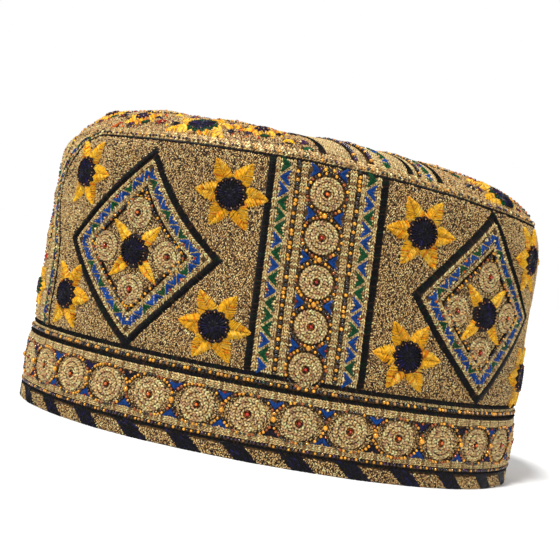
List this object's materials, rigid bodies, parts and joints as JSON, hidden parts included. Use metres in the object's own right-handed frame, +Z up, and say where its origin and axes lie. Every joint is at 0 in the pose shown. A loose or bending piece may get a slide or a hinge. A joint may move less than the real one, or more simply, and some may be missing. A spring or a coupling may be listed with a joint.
{
  "type": "balochi cap",
  "caption": "Tall soft embroidered cap with a domed crown, a forehead tongue, wrap-round wall panels, a border band and a rolled hem.",
  "frame": {"origin": "middle of the rim, on the surface that the cap rests on", "axes": "+Z up towards the crown, +X from the forehead towards the back of the head, +Y towards the wearer's right ear"},
  "size_m": [0.2042, 0.1598, 0.1242],
  "materials": {
    "crown_cloth": "stitched all over with beige metallic thread",
    "panel_cloth": "stitched all over with beige metallic thread",
    "band_cloth": "stitched all over with beige metallic thread",
    "hem_cloth": "folded and overstitched",
    "cord": "black satin thread"
  },
  "bodies": {
    "root": {"crown": "crown_cloth", "wall_panel_left": "panel_cloth", "wall_panel_right": "panel_cloth", "border_band": "band_cloth", "hem_binding": "hem_cloth", "crown_piping": "cord", "band_upper_cord": "cord", "band_lower_cord": "cord", "hem_cord": "cord"}
  },
  "joints": []
}
